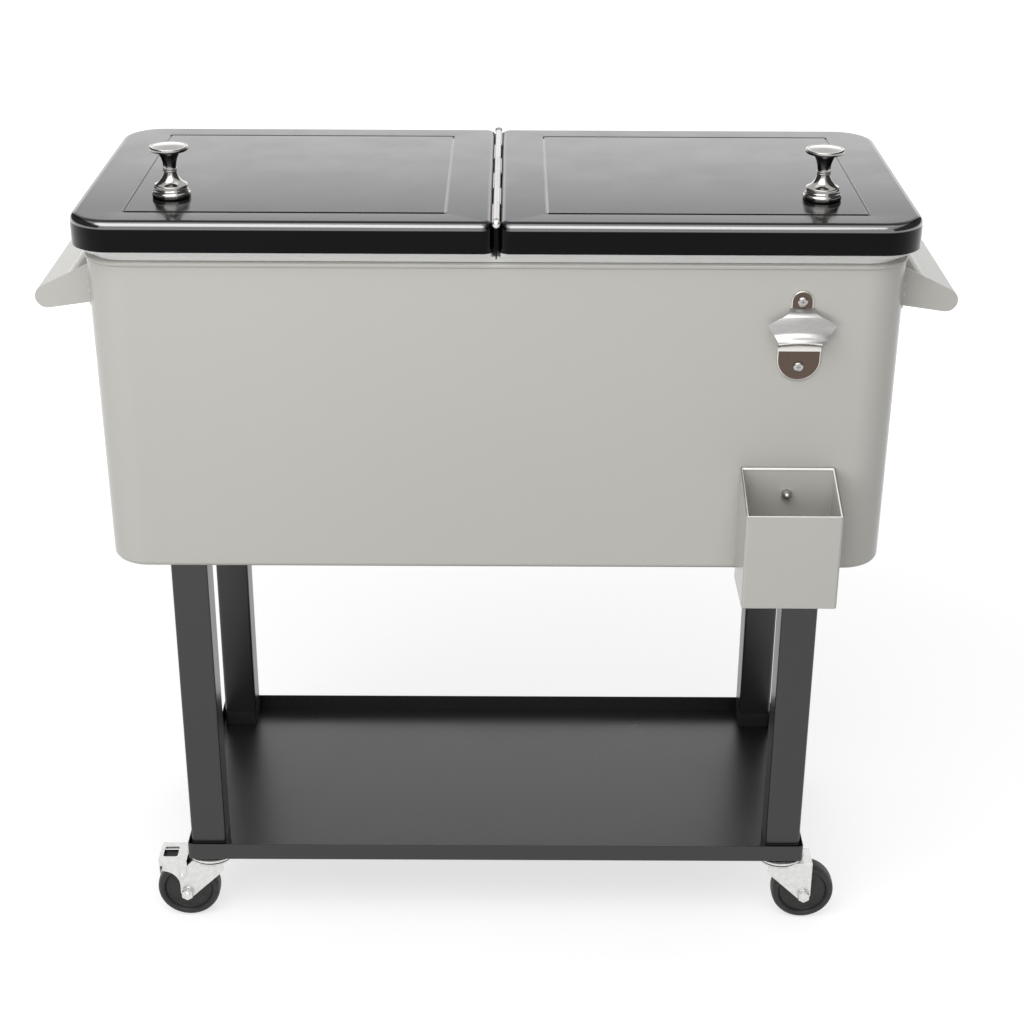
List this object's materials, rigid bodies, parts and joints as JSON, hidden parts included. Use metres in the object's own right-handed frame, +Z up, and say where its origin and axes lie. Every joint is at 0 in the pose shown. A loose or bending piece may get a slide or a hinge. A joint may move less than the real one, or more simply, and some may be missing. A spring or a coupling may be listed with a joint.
{
  "type": "rolling patio cooler",
  "caption": "Insulated patio cooler chest on legs with wing lids on a centre hinge, side handles, bottle opener, cap catcher, shelf tray and swivel casters.",
  "frame": {"origin": "middle of the outer box, on the floor under the wheels", "axes": "+X along the tub towards the side with the bottle opener, +Y to the back, +Z up"},
  "size_m": [0.9764, 0.455, 0.9253],
  "materials": {
    "tub_paint": "smooth satin paint, warm grey",
    "lid_enamel": "high gloss black enamel",
    "frame_powder": "satin black powder coat",
    "liner_plastic": "smooth moulded white plastic",
    "foot_plastic": "matt black moulded plastic",
    "wheel_rubber": "matt dark grey moulded rubber",
    "foam": "dull cream rigid foam",
    "bright_chrome": "bright chrome plate",
    "stainless": "brushed stainless steel",
    "zinc": "bright zinc plate"
  },
  "bodies": {
    "tub": {"bottle_opener": "stainless", "cap_catcher": "tub_paint", "caster_stem_front_left": "zinc", "caster_stem_front_right": "zinc", "caster_stem_rear_left": "zinc", "caster_stem_rear_right": "zinc", "catcher_bolt": "zinc", "catcher_cap_nut": "bright_chrome", "drain_nut": "liner_plastic", "drain_spout": "liner_plastic", "foot_front_left": "foot_plastic", "foot_front_right": "foot_plastic", "foot_rear_left": "foot_plastic", "foot_rear_right": "foot_plastic", "handle_left": "tub_paint", "handle_right": "tub_paint", "hinge_center_bar": "frame_powder", "hinge_pin": "bright_chrome", "leg_bolt_front_left": "zinc", "leg_bolt_front_right": "zinc", "leg_bolt_rear_left": "zinc", "leg_bolt_rear_right": "zinc", "leg_front_left": "frame_powder", "leg_front_right": "frame_powder", "leg_rear_left": "frame_powder", "leg_rear_right": "frame_powder", "opener_screw_lower": "stainless", "opener_screw_upper": "stainless", "tray": "frame_powder", "tub_insulation": "foam", "tub_liner": "liner_plastic", "tub_shell": "tub_paint"},
    "lid_left_body": {"lid_left": "lid_enamel", "lid_liner_left": "liner_plastic", "lid_insulation_left": "foam", "knob_left": "bright_chrome", "knob_screw_left": "zinc", "hinge_leaf_left": "stainless"},
    "lid_right_body": {"lid_right": "lid_enamel", "lid_liner_right": "liner_plastic", "lid_insulation_right": "foam", "knob_right": "bright_chrome", "knob_screw_right": "zinc", "hinge_leaf_right": "stainless"},
    "swivel_front_left": {"caster_fork_front_left": "zinc", "caster_axle_front_left": "zinc"},
    "wheel_front_left": {"caster_wheel_front_left": "wheel_rubber"},
    "pedal_front_left": {"brake_pedal_front_left": "zinc"},
    "swivel_front_right": {"caster_fork_front_right": "zinc", "caster_axle_front_right": "zinc"},
    "wheel_front_right": {"caster_wheel_front_right": "wheel_rubber"},
    "swivel_rear_left": {"caster_fork_rear_left": "zinc", "caster_axle_rear_left": "zinc"},
    "wheel_rear_left": {"caster_wheel_rear_left": "wheel_rubber"},
    "pedal_rear_left": {"brake_pedal_rear_left": "zinc"},
    "swivel_rear_right": {"caster_fork_rear_right": "zinc", "caster_axle_rear_right": "zinc"},
    "wheel_rear_right": {"caster_wheel_rear_right": "wheel_rubber"},
    "drain_cap_body": {"drain_cap": "liner_plastic"}
  },
  "joints": [
    {"name": "lid_left_hinge", "type": "hinge", "parent": "tub", "child": "lid_left_body", "pos_m": [0, 0.02739, 0.8695], "axis": [0, 1, 0], "range_deg": [0, 80]},
    {"name": "lid_right_hinge", "type": "hinge", "parent": "tub", "child": "lid_right_body", "pos_m": [0, 0.02739, 0.8695], "axis": [0, -1, 0], "range_deg": [0, 80]},
    {"name": "swivel_front_left_spin", "type": "hinge", "parent": "tub", "child": "swivel_front_left", "pos_m": [-0.337, -0.12061, 0.085], "axis": [0, 0, 1], "continuous": true},
    {"name": "wheel_front_left_roll", "type": "hinge", "parent": "swivel_front_left", "child": "wheel_front_left", "pos_m": [-0.367, -0.12061, 0.03704], "axis": [0, 1, 0], "continuous": true},
    {"name": "pedal_front_left_press", "type": "hinge", "parent": "swivel_front_left", "child": "pedal_front_left", "pos_m": [-0.372, -0.12061, 0.061], "axis": [0, -1, 0], "range_deg": [0, 12]},
    {"name": "swivel_front_right_spin", "type": "hinge", "parent": "tub", "child": "swivel_front_right", "pos_m": [0.337, -0.12061, 0.085], "axis": [0, 0, 1], "continuous": true},
    {"name": "wheel_front_right_roll", "type": "hinge", "parent": "swivel_front_right", "child": "wheel_front_right", "pos_m": [0.367, -0.12061, 0.03704], "axis": [0, 1, 0], "continuous": true},
    {"name": "swivel_rear_left_spin", "type": "hinge", "parent": "tub", "child": "swivel_rear_left", "pos_m": [-0.337, 0.17539, 0.085], "axis": [0, 0, 1], "continuous": true},
    {"name": "wheel_rear_left_roll", "type": "hinge", "parent": "swivel_rear_left", "child": "wheel_rear_left", "pos_m": [-0.367, 0.17539, 0.03704], "axis": [0, 1, 0], "continuous": true},
    {"name": "pedal_rear_left_press", "type": "hinge", "parent": "swivel_rear_left", "child": "pedal_rear_left", "pos_m": [-0.372, 0.17539, 0.061], "axis": [0, -1, 0], "range_deg": [0, 12]},
    {"name": "swivel_rear_right_spin", "type": "hinge", "parent": "tub", "child": "swivel_rear_right", "pos_m": [0.337, 0.17539, 0.085], "axis": [0, 0, 1], "continuous": true},
    {"name": "wheel_rear_right_roll", "type": "hinge", "parent": "swivel_rear_right", "child": "wheel_rear_right", "pos_m": [0.367, 0.17539, 0.03704], "axis": [0, 1, 0], "continuous": true},
    {"name": "drain_cap_turn", "type": "hinge", "parent": "tub", "child": "drain_cap_body", "pos_m": [-0.3, 0.21909, 0.5384], "axis": [0, 1, 0], "range_deg": [0, 360]}
  ]
}
